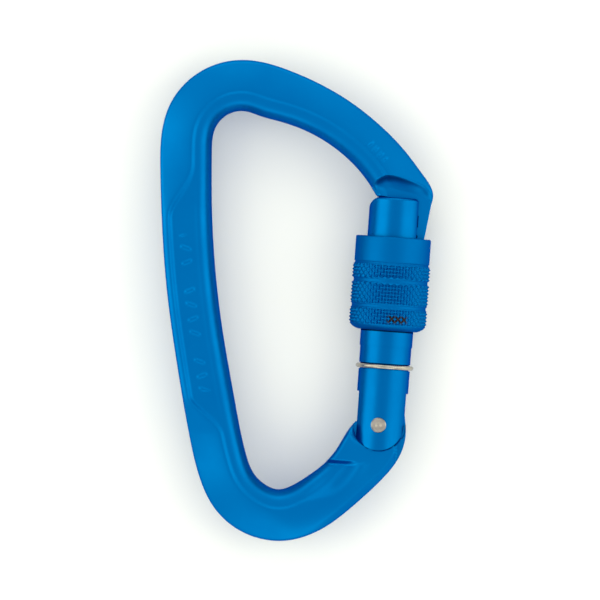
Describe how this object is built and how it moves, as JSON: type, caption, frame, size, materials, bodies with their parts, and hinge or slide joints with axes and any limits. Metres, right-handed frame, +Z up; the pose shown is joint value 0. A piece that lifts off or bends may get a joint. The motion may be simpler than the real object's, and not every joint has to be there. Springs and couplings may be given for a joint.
{
  "type": "locking carabiner",
  "caption": "Offset D-shaped climbing carabiner with an I-beam spine, keylock nose, sprung swinging gate and knurled screw sleeve.",
  "frame": {"origin": "centre of the bounding box in X and Y, at the height of the lowest point of the sleeve", "axes": "the carabiner lies flat: +X from the spine toward the gate, +Y toward the nose end along its length, +Z up through its thickness"},
  "size_m": [0.0558, 0.0984, 0.016],
  "materials": {
    "anodised_blue": "satin anodised",
    "anodised_blue_gate": "satin anodised",
    "anodised_blue_sleeve": "satin anodised, knurled",
    "rivet_steel": "satin",
    "ring_steel": "bare wire",
    "spring_steel": "bare wire",
    "black_rubber": "matte"
  },
  "bodies": {
    "frame": {"frame": "anodised_blue"},
    "gate": {"gate": "anodised_blue_gate", "gate_rivet": "rivet_steel", "stop_ring": "ring_steel", "gate_spring": "spring_steel"},
    "plunger": {"spring_plunger": "spring_steel"},
    "thread_follower": {"sleeve_friction_ring": "black_rubber"},
    "sleeve": {"sleeve": "anodised_blue_sleeve"}
  },
  "joints": [
    {"name": "gate_swing", "type": "hinge", "parent": "frame", "child": "gate", "pos_m": [0.01657, -0.02545, 0.008], "axis": [0, 0, 1], "range_deg": [0, 25], "stiffness_Nm_per_rad": 0.25, "springref_deg": -45.84},
    {"name": "plunger_slide", "type": "slide", "parent": "gate", "child": "plunger", "axis": [0.0715, 0.9974, 0], "range_m": [0, 0.001], "deforming": ["gate_spring"]},
    {"name": "sleeve_travel", "type": "slide", "parent": "gate", "child": "thread_follower", "axis": [-0.0715, -0.9974, 0], "range_m": [0, 0.00675]},
    {"name": "sleeve_turn", "type": "hinge", "parent": "thread_follower", "child": "sleeve", "pos_m": [0.01701, -0.02548, 0.008], "axis": [-0.0715, -0.9974, 0], "range_deg": [0, 1620]}
  ],
  "couplings": [
    {"joint": "plunger_slide", "follows": "gate_swing", "m_per_rad": 0.0022918},
    {"joint": "sleeve_travel", "follows": "sleeve_turn", "m_per_rad": 0.00023873}
  ]
}
